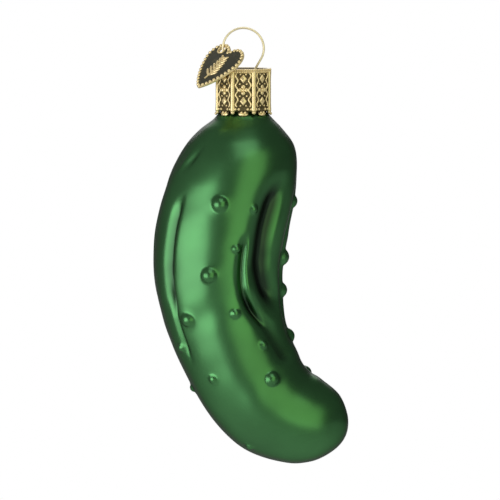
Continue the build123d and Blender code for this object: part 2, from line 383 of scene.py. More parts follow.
# pickle glass: the blown shell with its creases and warts
pickle = {
    "neckTop": -9.793, "neckRadius": 5.2, "neckBore": 4.4, "neckRows": 12, "neckSink": 0.12,
    "shoulderZ": -18.593,
    "wall": 0.8,
    # rows of the skin and of the inner wall, closer together in the zone at the tip
    "columns": 256, "firstRow": 0.2, "rowStep": 0.31, "innerStep": 1.8,
    "tipZone": 6.0, "tipRows": 42, "innerTipRows": 10,
    # shift, drop below the shoulder, radius and lean of each rib
    "ribs": [
        (0.0, 0.0, 5.1, 0), (0.0, 0.5, 5.7, 0), (0.0, 1.8, 6.9, 0), (-0.4, 3.8, 9.2, 0),
        (-0.6, 7.2, 12.0, 1), (-1.4, 11.2, 13.5, 2), (-2.7, 17.0, 14.5, 6), (-4.8, 26.7, 15.0, 3),
        (-5.6, 35.7, 14.7, -7), (-4.4, 45.3, 13.6, -9), (-1.4, 54.6, 12.7, -14), (3.4, 62.9, 12.0, -39),
        (7.8, 67.4, 11.4, -51), (13.8, 69.8, 10.2, -67), (18.3, 71.2, 8.3, -68), (21.9, 72.3, 4.4, -69),
        (23.2, 72.8, 0.0, -69),
    ],
    # places (travel, angle) along each crease, its depth and the widths of its two flanks
    "creases": [
        ([(18.5, -44.5), (26, -46), (34, -47), (45, -49)], 1.1, 2.0, 0.8),
        ([(34, -47), (45, -49), (56, -51)], 0.7, 0.8, 0.7),
        ([(5.9, -43), (9.9, -48), (14.9, -55)], 0.5, 1.2, 1.0),
        ([(6.5, -52), (10.5, -57), (15.5, -63)], -0.3, 1.2, 1.2),
        ([(26, 22.5), (34, 22.5), (41, 24), (45, 31), (51, 44)], 1.25, 1.4, 0.55),
        ([(40, 22), (45, 31), (51, 44), (57, 51), (65, 55)], 1.0, 2.2, 2.6),
        ([(11.9, 51), (17, 46), (27, 42), (37, 46), (43, 55), (49, 63)], 2.2, 3.4, 2.3),
        ([(10.9, 88), (30.9, 78), (56.9, 84)], 0.7, 1.5, 1.5),
        ([(16.9, 128), (36.9, 136), (60.9, 126)], 0.9, 1.4, 1.4),
        ([(8.9, 176), (32.9, 170), (66.9, 182)], 0.8, 1.3, 1.3),
        ([(18.9, -138), (38.9, -133), (58.9, -142)], 0.9, 1.4, 1.4),
        ([(12.9, -92), (30.9, -86), (46.9, -92)], 0.7, 1.2, 1.2),
    ],
    # length over which a crease runs out, kept between two shares of the whole
    "creaseFade": 6.0, "fadeShare": (0.22, 0.5),
    # height, waves round, waves along and phase of each slow swell in the blown wall
    "swells": [(0.045, 3, 4.3, 0.6), (0.035, 5, 6.1, 2.1), (0.022, 8, 9.7, 4.0), (0.012, 4, 14.3, 1.2)],
    # travel, angle and radius of each wart
    "warts": [
        (20.4, -7, 1.9), (36.1, -8, 1.9), (34.7, 88, 1.9), (14.9, 150, 1.9), (26.9, -129, 1.9),
        (30.4, 158, 1.9), (61.9, 160, 1.9), (45.4, -36, 1.7), (64.1, 23, 1.7), (18.9, 86, 1.7),
        (42.7, 92, 1.7), (53.9, 93, 1.7), (40.9, -152, 1.7), (48.4, 146, 1.7), (54.4, -126, 1.7),
        (70.9, 112, 1.7), (69.9, -140, 1.7), (30.4, 15, 1.05), (45.4, 12, 1.05), (20.9, 24, 1.05),
        (53.9, 32, 1.05), (58.4, -34, 1.05), (51.4, -59, 1.05), (59.1, -86, 1.05), (71.4, -60, 1.05),
    ],
    # shares of a wart's radius: its ball's depth in the skin, its soft foot, its end and the fade to it
    "wartSink": 0.4, "wartSoft": 0.3, "wartEnd": 1.9, "wartFade": 0.7,
    # depth of a crease beyond which its colour is darkened as painted shade
    "shadeFrom": 0.4,
}
# radii are squared, so that the skin closes round at the tip
ribs = np.array(pickle["ribs"], dtype=float)
ribs[:, 2] **= 2
travel = np.concatenate([[0], np.cumsum(np.hypot(np.diff(ribs[:, 0]), np.diff(ribs[:, 1])))])


def ease(q):
    return q**2 * (3 - 2 * q)


# a smooth line through rows of values given at rising knots
def smoothLine(knots, rows, places):
    slopes = np.zeros_like(rows)
    for k in range(len(rows)):
        low, high = max(k - 1, 0), min(k + 1, len(rows) - 1)
        slopes[k] = (rows[high] - rows[low]) / (knots[high] - knots[low])
    k = np.clip(np.searchsorted(knots, places, side="right") - 1, 0, len(rows) - 2)
    gap = (knots[k + 1] - knots[k])[:, None]
    q = ((places - knots[k]) / gap[:, 0])[:, None]
    found = (2 * q**3 - 3 * q**2 + 1) * rows[k] + (3 * q**2 - 2 * q**3) * rows[k + 1]
    return found + (q**3 - 2 * q**2 + q) * gap * slopes[k] + (q**3 - q**2) * gap * slopes[k + 1]


def ribAt(places):
    x, drop, square, lean = smoothLine(travel, ribs, places).T
    return x, pickle["shoulderZ"] - drop, np.sqrt(np.maximum(square, 0)), np.radians(lean)


# how far creases and swells sink the wall
def dipAt(places, angles, radius):
    dip = np.zeros((len(places), len(angles)))
    least, most = pickle["fadeShare"]
    for line, deep, before, after in pickle["creases"]:
        knots = np.array([spot[0] for spot in line], dtype=float)
        turns = np.array([[spot[1]] for spot in line], dtype=float)
        middle = smoothLine(knots, turns, np.clip(places, knots[0], knots[-1]))
        length = knots[-1] - knots[0]
        along = (places - knots[0]) / length
        ends = min(max(pickle["creaseFade"] / length, least), most)
        fade = ease(np.clip(np.minimum(along, 1 - along) / ends, 0, 1))
        aside = (angles[None, :] - middle + 180) % 360 - 180
        across = np.radians(aside) * radius[:, None] / np.where(aside < 0, before, after)
        dip += deep * fade[:, None] * np.exp(-(across**2))
    along = (places / travel[-1])[:, None]
    turn = np.radians(angles)[None, :]
    for high, around, waves, phase in pickle["swells"]:
        dip += high * np.sin(math.pi * along) * np.sin(turn * around + fullTurn * waves * along + phase)
    return dip


def skinGrid(places, angles, inset=0):
    x, z, radius, lean = ribAt(places)
    dip = dipAt(places, angles, radius)
    shrink = 1 - inset / np.maximum(radius, 2 * inset) if inset else np.ones_like(radius)
    reach = (radius[:, None] - dip) * shrink[:, None]
    turn = np.radians(angles)[None, :]
    side = reach * np.sin(turn)
    grid = np.stack([
        x[:, None] + side * np.cos(lean)[:, None],
        -reach * np.cos(turn),
        z[:, None] - side * np.sin(lean)[:, None],
    ], axis=-1)
    return grid, dip


def gridNormals(grid):
    down = np.gradient(grid, axis=0)
    around = (np.roll(grid, -1, axis=1) - np.roll(grid, 1, axis=1)) / 2
    normal = np.cross(around, down)
    normal /= np.maximum(np.linalg.norm(normal, axis=-1, keepdims=True), 1e-9)
    middle = grid.mean(axis=1, keepdims=True)
    return normal * np.sign(np.sum(normal * (grid - middle), axis=-1).sum())


def raiseWarts(grid):
    rise = np.zeros(grid.shape[:2])
    for place, angle, size in pickle["warts"]:
        middle = skinGrid(np.array([place]), np.array([float(angle)]))[0][0, 0]
        far = np.linalg.norm(grid - middle, axis=-1)
        ball = np.sqrt(np.maximum(size**2 - far**2, 0)) - 2 * np.maximum(far - size, 0)
        ball -= pickle["wartSink"] * size
        swell = 0.5 * (ball + np.sqrt(ball**2 + (pickle["wartSoft"] * size)**2))
        window = np.clip((pickle["wartEnd"] * size - far) / (pickle["wartFade"] * size), 0, 1)
        rise = np.maximum(rise, swell * ease(window))
    return grid + gridNormals(grid) * rise[..., None]


# rows along the skin, even at first and then ever closer to the tip
def rowPlaces(first, step, last, tipRows):
    even = np.arange(first, travel[-1] - pickle["tipZone"], step)
    rest = np.linspace(1, 0, tipRows)[1:-1]
    return np.concatenate([even, last - (last - even[-1]) * rest**2])


def makePickle(material):
    columns, wall, shoulder, end = pickle["columns"], pickle["wall"], pickle["shoulderZ"], travel[-1]
    angles = np.arange(columns) * 360 / columns
    turn = np.radians(angles)
    circle = np.stack([np.sin(turn), -np.cos(turn), np.zeros(columns)], axis=-1)

    def hoop(size, z):
        return circle * size + np.array([0, 0, z])

    skin, dip = skinGrid(rowPlaces(pickle["firstRow"], pickle["rowStep"], end, pickle["tipRows"]), angles)
    innerPlaces = rowPlaces(wall, pickle["innerStep"], end - wall, pickle["innerTipRows"])
    # up the inside, over the neck's rim and down the outside
    rows = list(skinGrid(innerPlaces, angles, wall)[0][::-1])
    rows.append(hoop(pickle["neckBore"], shoulder - wall))
    rows.append(hoop(pickle["neckBore"], pickle["neckTop"]))
    for z in np.linspace(pickle["neckTop"], shoulder - pickle["neckSink"], pickle["neckRows"]):
        rows.append(hoop(pickle["neckRadius"], z))
    hidden = len(rows) * columns
    rows += list(raiseWarts(skin))
    count = len(rows)
    faces = ringFaces(count, columns)
    x, z, _, lean = ribAt(np.array([end]))
    outerTip = np.array([x[0], 0, z[0]])
    innerTip = outerTip + wall * np.array([math.sin(lean[0]), 0, math.cos(lean[0])])
    last = (count - 1) * columns
    for column in range(columns):
        after = (column + 1) % columns
        faces.append((last + column, count * columns, last + after))
        faces.append((column, after, count * columns + 1))
    piece = meshObject("pickleGlass", np.concatenate(rows + [[outerTip, innerTip]]) * mm, faces)
    turnOutward(piece.data)
    # painted shade: how far each point sits deeper in a crease than where its painted darkening starts
    pool = np.maximum(dip - pickle["shadeFrom"], 0).ravel()
    setFloat(piece, "dip", np.concatenate([np.zeros(hidden), pool, [0, 0]]))
    piece.data.materials.append(material)
    return piece


lacquer = {
    "green": (0.085, 0.325, 0.1, 1),
    # deep: the darker green painted into deep creases as shade
    "deep": (0.018, 0.055, 0.024, 1),
    "edge": (0.06, 0.08, 0.075, 1),
    "roughness": (0.26, 0.36),
    "coat": 0.65,
    "coatRoughness": 0.3,
    "cloud": {"Scale": 60, "Detail": 3},
    "grain": {"Scale": 2600, "Detail": 2},
    "bump": {"Strength": 0.06, "Distance": 0.00005},
    # how much painted shade darkens a deep crease, and the noise between which the coat thickens, up to
    # what share
    "pool": 0.75,
    "thickFrom": (0.35, 0.75),
    "thick": (0, 0.35),
}


# satin green lacquer over silver: painted shade darkens the deep creases, a grey edge and a clear coat
def lacquerMaterial():
    material, tree = newMaterial("silveredGreenLacquer")
    shader = tree.nodes["Principled BSDF"]
    shader.inputs["Metallic"].default_value = 1.0
    shader.inputs["Specular Tint"].default_value = lacquer["edge"]
    shader.inputs["Coat Weight"].default_value = lacquer["coat"]
    shader.inputs["Coat Roughness"].default_value = lacquer["coatRoughness"]
    place = addNode(tree, "ShaderNodeTexCoord")
    cloud = addNode(tree, "ShaderNodeTexNoise", lacquer["cloud"])
    grain = addNode(tree, "ShaderNodeTexNoise", lacquer["grain"])
    dip = addNode(tree, "ShaderNodeAttribute", attribute_name="dip")
    # painted shade: the crease depth, plus the coat's random thickening, mixes the base towards the
    # darker green
    pool = addMath(tree, "MULTIPLY_ADD", {1: lacquer["pool"]})
    mix = addNode(tree, "ShaderNodeMix", data_type="RGBA")
    mix.inputs["A"].default_value = lacquer["green"]
    mix.inputs["B"].default_value = lacquer["deep"]
    thick = addRange(tree, lacquer["thickFrom"], lacquer["thick"], "LINEAR")
    satin = addRange(tree, target=lacquer["roughness"], kind="LINEAR")
    bump = addNode(tree, "ShaderNodeBump", lacquer["bump"])
    linkAll(tree, [
        (place, "Object", cloud, "Vector"),
        (place, "Object", grain, "Vector"),
        (cloud, "Fac", thick, "Value"),
        (dip, "Fac", pool, 0),
        (thick, "Result", pool, 2),
        (pool, 0, mix, "Factor"),
        (mix, "Result", shader, "Base Color"),
        (cloud, "Fac", satin, "Value"),
        (satin, "Result", shader, "Roughness"),
        (grain, "Fac", bump, "Height"),
        (bump, "Normal", shader, "Normal"),
    ])
    return material


pickleGlass = makePickle(lacquerMaterial())
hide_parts("glass_body")
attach(pickleGlass, "glass")
print("stage: pickle glass", len(pickleGlass.data.polygons), "faces")


# wire hanger: one bright wire, looped, with two legs sprung apart in the neck
hanger = {
    "radius": 0.25, "sides": 20, "endShare": 0.995,
    "loopRadius": 4.6, "loopZ": -4.35, "lean": 30,
    "holeX": 2.4, "holeZ": -9.393, "bendRadius": 1.2,
    "legSplay": 9.35, "legFootZ": -25.093,
    "loopSteps": 60, "shankSteps": 8, "bendSteps": 14, "legSteps": 20,
    "relief": 0.85,
    "look": {
        "bright": (1.0, 0.88, 0.58, 1), "dark": (0.7, 0.54, 0.25, 1),
        "grain": 900, "bump": 0.05, "metal": 0.5,
    },
}


def makeHanger(material):
    lean, splay = math.radians(hanger["lean"]), math.radians(hanger["legSplay"])
    bend, hole = hanger["bendRadius"], (hanger["holeX"], hanger["holeZ"])
    # the right half, from the loop's top to the leg's foot
    half = arcSpots((0, hanger["loopZ"]), hanger["loopRadius"], math.pi / 2, -lean, hanger["loopSteps"])
    half += lineSpots(half[-1], hole, hanger["shankSteps"])
    middle = hole[0] + bend * math.cos(lean), hole[1] - bend * math.sin(lean)
    half += arcSpots(middle, -bend, -lean, splay, hanger["bendSteps"])[1:]
    drop = half[-1][1] - hanger["legFootZ"]
    foot = half[-1][0] + drop * math.tan(splay), hanger["legFootZ"]
    half += lineSpots(half[-1], foot, hanger["legSteps"])
    line = [(-x * mm, 0, z * mm) for x, z in reversed(half[1:])] + [(x * mm, 0, z * mm) for x, z in half]
    wire = sweepOnLine("loopWire", [line], hanger["radius"] * mm, hanger["sides"], material)
    ends = setOnPoints("wireEnds", beadShape("wireEnd"), [spotAt(line[0]), spotAt(line[-1])],
                       hanger["radius"] * hanger["endShare"] * mm, material)
    made = joinPieces("hangerLoop", [wire, ends], material)
    setFloat(made, "relief", np.full(len(made.data.vertices), hanger["relief"]))
    return made


hangerLoop = makeHanger(goldMaterial("brightWire", hanger["look"]))
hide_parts("hanger_wire")
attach(hangerLoop, "hanger")
print("stage: hanger loop")


# crown cap: eight cast panels between pillars, with a beaded foot and a roped rim
crown = {
    "panels": 8, "panelSides": 16, "apothem": 5.9, "bore": 5.3, "sharpFrom": 35,
    "foot": -18.293, "footRound": 0.12,
    "rimTop": -8.793, "rimHeight": 0.95, "rimOut": 0.25, "rimRound": 0.16,
    # the rim's small steps: lip, fine lip and crest, and how eight-sided its top still is
    "lip": 0.1, "fineLip": 0.06, "crest": 0.03, "crestShare": 0.8,
    "plateTop": -9.093, "plateUnder": -9.693, "plateSlack": 0.02,
    "holeX": 2.4, "holeRadius": 0.6, "holeSides": 24,
    "pillarRadius": 0.5, "pillarRing": 6.161, "pillarSwell": 0.16,
    "pillarRows": 24, "pillarSides": 20,
    "knob": 0.5, "knobDrop": 0.4,
    "tabWidth": 2.3, "tabLength": 1.05, "tabWall": 0.25, "tabFlare": 28.0, "tabInset": 0.14,
    "tabRoot": 0.25, "tabStraight": 0.4, "tabSteps": 14, "tabRound": 0.08,
    # bead radius, and the rise of the waves' foot in bead radii
    "bead": 0.33, "footRise": 3.2,
    # beads on the panel's foot (across, up) and on the tab (across, along); one stands at the tab's tip
    "footBeads": [(1.8, 0.5), (1.0, 0.5)],
    "tabBead": (0.42, -0.3), "tipBead": -0.75, "tipBeadSize": 1.05,
    "waveAside": 1.45, "waveRadius": 0.19, "waveSwing": 0.26, "waveCount": 3.5, "waveProud": 0.06,
    "waveSteps": 48, "waveSides": 12,
    "relief": 0.32, "lozenge": (0.9, 1.1), "lozengeSides": 32, "motifStep": 2.5,
    "petal": 0.5, "petalOut": 0.7, "bud": 0.36, "dot": 0.27, "dotProud": -0.05,
    # dots, across and away from the panel's middle
    "dots": [(0.78, 1.35), (0.62, 3.5)],
    # the rim's two ropes: strands on each panel, their slant and size, and the ropes' drops
    "strands": 10, "strandSlant": 35, "strandSize": (0.16, 0.3, 0.16),
    "ropeDrops": (-0.22, -0.72), "ropeSink": 0.02,
    # relief shown on the flat panel, its growth with height, and that of the plate and the rim's top
    "flatRelief": 0.1, "reliefHeight": 0.3, "plateRelief": 0.12, "rimRelief": 0.7, "rimBand": 0.12,
    "look": {
        "bright": (1.0, 0.8, 0.42, 1), "dark": (0.1, 0.075, 0.03, 1),
        "grain": 700, "bump": 0.1, "metal": 0.62,
    },
}
crownTurn = fullTurn / crown["panels"]


# a panel's own axes: across, up and out
def panelFrame(index):
    turn = crownTurn * index - math.pi / 2
    out = Vector((math.cos(turn), math.sin(turn), 0))
    side = Vector((-math.sin(turn), math.cos(turn), 0))
    return Matrix((side, Vector((0, 0, 1)), out)).transposed(), out


def onPanel(index, across, rise, proud=0.0):
    turned, out = panelFrame(index)
    base = out * crown["apothem"] + Vector((0, 0, crown["foot"]))
    return (base + turned @ Vector((across, rise, proud))) * mm


# share 1 is the eight-sided outline, share 0 a circle of that radius
def crownRing(apothem, z, share):
    points = []
    count = crown["panels"] * crown["panelSides"]
    for k in range(count):
        angle = fullTurn * k / count
        local = (angle + crownTurn / 2) % crownTurn - crownTurn / 2
        far = apothem * (1 + share * (1 / math.cos(local) - 1))
        points.append((far * math.sin(angle) * mm, -far * math.cos(angle) * mm, z * mm))
    return points


def makeCrownBase():
    wall, bore, foot, top = crown["apothem"], crown["bore"], crown["foot"], crown["rimTop"]
    rim, rimFoot = wall + crown["rimOut"], top - crown["rimHeight"]
    soft, edge, lip, fine = crown["footRound"], crown["rimRound"], crown["lip"], crown["fineLip"]
    # from the plate's underside round the foot and over the rim: radius, height and share
    profile = [
        (bore, crown["plateUnder"], 0),
        (bore, foot, 0),
        (wall - soft, foot, 1),
        (wall, foot + soft, 1),
        (wall, rimFoot - lip, 1),
        (wall + fine, rimFoot, 1),
        (rim, rimFoot + edge, 1),
        (rim, top - edge, 1),
        (rim - lip, top - crown["crest"], 1),
        (wall, top, crown["crestShare"]),
        (bore + lip, top, 0),
        (bore, top - fine, 0),
        (bore, crown["plateTop"], 0),
    ]
    body = bmesh.new()

    def ringStrip(low, high):
        for k in range(len(low)):
            after = (k + 1) % len(low)
            body.faces.new((low[k], low[after], high[after], high[k]))

    rings = [[body.verts.new(p) for p in crownRing(*place)] for place in profile]
    for low, high in zip(rings, rings[1:]):
        ringStrip(low, high)
    holes = {}
    for z, outer in ((crown["plateTop"], rings[-1]), (crown["plateUnder"], rings[0])):
        for side in (-1, 1):
            spots = circleSpots(crown["holeRadius"], crown["holeSides"], (side * crown["holeX"], 0))
            holes[z, side] = [body.verts.new((x * mm, y * mm, z * mm)) for x, y in spots]
        edges = []
        for ring in (outer, holes[z, -1], holes[z, 1]):
            for pair in zip(ring, ring[1:] + ring[:1]):
                edges.append(body.edges.get(pair) or body.edges.new(pair))
        bmesh.ops.triangle_fill(body, edges=edges, use_beauty=True, use_dissolve=False)
    for side in (-1, 1):
        ringStrip(holes[crown["plateTop"], side], holes[crown["plateUnder"], side])
    bmesh.ops.recalc_face_normals(body, faces=body.faces)
    piece = shapeObject("crownBase", body)
    smoothUnder(piece.data, crown["sharpFrom"])
    return piece


# tabs lean out from the panel's foot
def tabFrame(index):
    turned, out = panelFrame(index)
    return turned @ Matrix.Rotation(-math.radians(crown["tabFlare"]), 3, "X"), out


def onTab(index, across, along):
    turned, out = tabFrame(index)
    base = out * (crown["apothem"] - crown["tabInset"]) + Vector((0, 0, crown["foot"]))
    return (base + turned @ Vector((across, along, 0))) * mm


def tabShape():
    half, root, steps = crown["tabWidth"] / 2, crown["tabRoot"], crown["tabSteps"]
    straight = crown["tabLength"] * crown["tabStraight"]
    deep = crown["tabLength"] - straight
    outline = [(-half, root)]
    for x, y in arcSpots((0, 0), 1, math.pi, fullTurn, steps):
        outline.append((half * x, -straight + deep * y))
    outline.append((half, root))
    tab = bmesh.new()
    face = tab.faces.new([tab.verts.new((x, y, 0)) for x, y in outline])
    grown = bmesh.ops.extrude_face_region(tab, geom=[face])
    moved = [v for v in grown["geom"] if isinstance(v, bmesh.types.BMVert)]
    bmesh.ops.translate(tab, verts=moved, vec=(0, 0, -crown["tabWall"]))
    bmesh.ops.recalc_face_normals(tab, faces=tab.faces)
    bmesh.ops.bevel(tab, geom=list(tab.edges), offset=crown["tabRound"], segments=2, affect="EDGES")
    return shapeObject("tab", tab)


# a pillar that swells a little at its head and foot
def pillarShape():
    tall = crown["rimTop"] - crown["rimHeight"] * 0.5 - crown["foot"]
    rows, sides = crown["pillarRows"], crown["pillarSides"]
    points = []
    for k in range(rows + 1):
        q = k / rows
        swell = 1 + crown["pillarSwell"] * max(math.cos(fullTurn * q), 0)**3
        points += [(x, y, tall * q) for x, y in circleSpots(crown["pillarRadius"] * swell, sides)]
    faces = ringFaces(rows + 1, sides, upward=True)
    faces.append(tuple(reversed(range(sides))))
    faces.append(tuple(len(points) - sides + k for k in range(sides)))
    return meshObject("pillar", points, faces)


def crownWaves(foot, tall, material):
    lines = []
    for index in range(crown["panels"]):
        for side in (-1, 1):
            line = []
            for k in range(crown["waveSteps"] + 1):
                q = k / crown["waveSteps"]
                swing = crown["waveSwing"] * math.sin(fullTurn * crown["waveCount"] * q)
                across = side * (crown["waveAside"] + swing)
                line.append(tuple(onPanel(index, across, foot + (tall - foot) * q, crown["waveProud"])))
            lines.append(line)
    return sweepOnLine("waves", lines, crown["waveRadius"] * mm, crown["waveSides"], material)


def crownPillars(material):
    ring, knob = crown["pillarRing"], crown["knob"]
    pillars, knobs = [], []
    for index in range(crown["panels"]):
        corner = crownTurn * (index + 0.5) - math.pi / 2
        spot = Vector((ring * math.cos(corner), ring * math.sin(corner), crown["foot"])) * mm
        pillars.append(spotAt(spot))
        knobs.append(spotAt(spot - Vector((0, 0, crown["knobDrop"] * knob * mm))))
    return [
        setOnPoints("pillars", pillarShape(), pillars, mm, material),
        setOnPoints("footKnobs", beadShape("footKnob"), knobs, knob * mm, material),
    ]


# tabs, beads and the raised motifs of every panel
def crownMotifs(middle, material):
    tabs, beads, lozenges, petals, buds, dots = [], [], [], [], [], []
    tabAcross, tabAlong = crown["tabBead"]
    for index in range(crown["panels"]):
        turn = panelFrame(index)[0].to_euler()
        tabs.append(spotAt(onTab(index, 0, 0), tabFrame(index)[0].to_euler()))
        for side in (-1, 1):
            for across, rise in crown["footBeads"]:
                beads.append(spotAt(onPanel(index, side * across, rise), turn))
            beads.append(spotAt(onTab(index, side * tabAcross, tabAlong), turn))
            for step in (-1, 1):
                for across, away in crown["dots"]:
                    place = onPanel(index, side * across, middle + step * away, crown["dotProud"])
                    dots.append(spotAt(place, turn))
        beads.append(spotAt(onTab(index, 0, crown["tipBead"]), turn, (crown["tipBeadSize"],) * 3))
        for step in (-1, 1):
            lozenges.append(spotAt(onPanel(index, 0, middle + step * crown["motifStep"]), turn))
        for across, rise in circleSpots(crown["petalOut"], 4, (0, middle)):
            petals.append(spotAt(onPanel(index, across, rise), turn))
        buds.append(spotAt(onPanel(index, 0, middle), turn))
    wide, high = crown["lozenge"]

    def lozengeReach(angle):
        return 1 / (abs(math.cos(angle)) / wide + abs(math.sin(angle)) / high)

    def petalReach(angle):
        return crown["petal"]

    lozenge = domeShape("lozenge", lozengeReach, crown["relief"], crown["lozengeSides"])
    petal = domeShape("petal", petalReach, crown["relief"])
    return [
        setOnPoints("tabs", tabShape(), tabs, mm, material),
        setOnPoints("footBeads", beadShape("footBead"), beads, crown["bead"] * mm, material),
        setOnPoints("lozenges", lozenge, lozenges, mm, material),
        setOnPoints("petals", petal, petals, mm, material),
        setOnPoints("buds", beadShape("bud"), buds, crown["bud"] * mm, material),
        setOnPoints("dots", beadShape("dot"), dots, crown["dot"] * mm, material),
    ]


def crownRopes(material):
    width = 2 * (crown["apothem"] + crown["rimOut"]) * math.tan(crownTurn / 2)
    slant = Matrix.Rotation(math.radians(crown["strandSlant"]), 3, "Z")
    ropes = []
    for index in range(crown["panels"]):
        slanted = (panelFrame(index)[0] @ slant).to_euler()
        for drop in crown["ropeDrops"]:
            rise = crown["rimTop"] - crown["foot"] + drop
            for k in range(crown["strands"]):
                across = width * ((k + 0.5) / crown["strands"] - 0.5)
                spot = onPanel(index, across, rise, crown["rimOut"] - crown["ropeSink"])
                ropes.append(spotAt(spot, slanted, crown["strandSize"]))
    return setOnPoints("ropes", beadShape("strand", 1), ropes, mm, material)


# how far each point stands out of the panels, for the gold
def crownRelief(points):
    outs = np.array([tuple(panelFrame(index)[1])[:2] for index in range(crown["panels"])])
    proud = (points[:, :2] @ outs.T).max(axis=1) - crown["apothem"]
    relief = np.clip(crown["flatRelief"] + proud / crown["reliefHeight"], 0, 1)
    far = np.hypot(points[:, 0], points[:, 1])
    slack = crown["plateSlack"]
    inside = (points[:, 2] > crown["plateTop"] - slack) & (far < crown["bore"] + slack)
    relief[inside] = crown["plateRelief"]
    rim = (points[:, 2] > crown["rimTop"] - crown["rimBand"]) & ~inside
    relief[rim] = np.maximum(relief[rim], crown["rimRelief"])
    return relief


def makeCrown(material):
    foot = crown["bead"] * crown["footRise"]
    tall = crown["rimTop"] - crown["rimHeight"] - crown["foot"]
    made = [makeCrownBase(), crownWaves(foot, tall, material)]
    made += crownPillars(material)
    made += crownMotifs((foot + tall) / 2, material)
    made.append(crownRopes(material))
    whole = joinPieces("crownCap", made, material)
    setFloat(whole, "relief", crownRelief(meshPoints(whole) / mm))
    return whole


crownCap = makeCrown(goldMaterial("antiqueGoldCap", crown["look"]))
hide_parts("cap")
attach(crownCap, "cap")
print("stage: crown cap", len(crownCap.data.polygons), "faces")


# heart tag: beaded plate with a plain fir sprig
heart = {
    "hang": (-4.58582, 0.0, -4.71091),
    "azimuth": 220.0, "lean": 46.91, "turn": -13.5,
    "thickness": 0.6, "edge": 0.12, "edgeSteps": 3, "sharpFrom": 40,
    "lobe": 3.5, "spacing": 6.0, "lobeEnd": 20.0, "tipDrop": 8.9, "arcSteps": 80, "seam": 0.02,
    "shift": (3.2, -2.0), "holeRadius": 0.95, "holeSides": 40,
    "beads": 38, "bead": 0.42, "beadInset": 0.28, "beadSink": 0.1,
    "eyelet": 1.16, "eyeletWire": 0.2, "eyeletSteps": 48, "eyeletSides": 12,
    # stem of the sprig: foot, height, sway and its turn, wire
    "stemFoot": (-0.1, -6.3), "stemTall": 6.6, "stemSway": 0.5, "stemBend": 2.8, "stemWire": 0.22,
    "stemSteps": 24, "stemSides": 10,
    # needles: pairs, start on the stem, length and lean at the foot and what they lose to the top
    "needlePairs": 6, "needleStart": 0.16, "needleLong": 1.5, "needleLoss": 0.4, "needleLean": 58,
    "needleRise": 16, "needleOut": 0.96, "needleProud": 0.02, "needleWide": 0.36, "needleHigh": 0.3,
    # relief shown on the flat face, its growth with height, and that of the edge and back
    "flatRelief": 0.02, "reliefHeight": 0.16, "backRelief": 0.75, "backFrom": 0.05,
    "look": {
        "bright": (1.0, 0.8, 0.42, 1), "dark": (0.08, 0.08, 0.055, 1),
        "grain": 650, "bump": 0.1, "metal": 0.62,
    },
}


# the tag's own axes: across, up and out of its face
def heartFrame():
    facing, lean = math.radians(heart["azimuth"]), math.radians(heart["lean"])
    out = Vector((math.cos(facing) * math.sin(lean), math.sin(facing) * math.sin(lean), math.cos(lean)))
    level = Vector((-math.sin(facing), math.cos(facing), 0))
    side = Matrix.Rotation(math.radians(heart["turn"]), 3, out) @ level
    up = out.cross(side)
    return Matrix((side, up, out)).transposed()


heartTurn = heartFrame()
heartHole = (-heart["shift"][0], -heart["shift"][1])
heartFace = heart["thickness"] / 2


def onHeart(x, y, z=0.0):
    local = Vector((x + heart["shift"][0], y + heart["shift"][1], z))
    return (Vector(heart["hang"]) + heartTurn @ local) * mm


# right half from the notch round the lobe and down the side, then mirrored
def heartOutline(inset):
    lobe, half, steps = heart["lobe"], heart["spacing"] / 2, heart["arcSteps"]
    notch = math.pi - math.acos(half / lobe)
    end = math.radians(-heart["lobeEnd"])
    foot = Vector((half + lobe * math.cos(end), lobe * math.sin(end)))
    tip = Vector((0, -heart["tipDrop"]))
    chord = tip - foot
    # the side leaves the lobe without a corner, on a circle about middle
    across = Vector((-math.cos(end), -math.sin(end)))
    size = chord.length_squared / (2 * chord.dot(across))
    middle = foot + across * size
    first = math.atan2(foot.y - middle.y, foot.x - middle.x)
    last = math.atan2(tip.y - middle.y, tip.x - middle.x)
    spots = arcSpots((half, 0), lobe - inset, notch, end, steps)
    spots += arcSpots(middle, abs(size) - inset, first, last, steps)[1:]
    points = [Vector(spot) for spot in spots if spot[0] > heart["seam"]]
    return points + [Vector((-p.x, p.y)) for p in reversed(points)]


def evenSpots(outline, count):
    closed = outline + [outline[0]]
    steps = [0.0]
    for a, b in zip(closed, closed[1:]):
        steps.append(steps[-1] + (b - a).length)
    spots = []
    k = 0
    for spot in range(count):
        goal = steps[-1] * (spot + 0.5) / count
        while steps[k + 1] < goal:
            k += 1
        q = (goal - steps[k]) / (steps[k + 1] - steps[k])
        spots.append(closed[k].lerp(closed[k + 1], q))
    return spots


# the plate is a filled outline with a hole and rounded edges
def makeHeartPlate():
    curve = bpy.data.curves.new("heartPlate", "CURVE")
    curve.dimensions = "2D"
    curve.fill_mode = "BOTH"
    hole = circleSpots(heart["holeRadius"], heart["holeSides"], heartHole)
    for outline in (heartOutline(0), hole):
        spline = curve.splines.new("POLY")
        spline.points.add(len(outline) - 1)
        for point, (x, y) in zip(spline.points, outline):
            point.co = (x, y, 0, 1)
        spline.use_cyclic_u = True
    curve.bevel_depth = heart["edge"]
    curve.bevel_resolution = heart["edgeSteps"]
    curve.extrude = heartFace - heart["edge"]
    curve.offset = -heart["edge"]
    drawn = placed("heartDrawn", curve)
    mesh = evaluatedMesh(drawn)
    bpy.data.objects.remove(drawn)
    bpy.data.curves.remove(curve)
    shift = Vector(heart["hang"]) + heartTurn @ Vector((*heart["shift"], 0))
    mesh.transform(Matrix.Scale(mm, 4) @ Matrix.Translation(shift) @ heartTurn.to_4x4())
    turnOutward(mesh, merge=1e-7)
    smoothUnder(mesh, heart["sharpFrom"])
    return placed("heartPlate", mesh)


# sprig: a stem up the middle with needles that shorten to the top
def stemSpot(q):
    x, y = heart["stemFoot"]
    return heart["stemSway"] * math.sin(q * heart["stemBend"]) + x, y + heart["stemTall"] * q


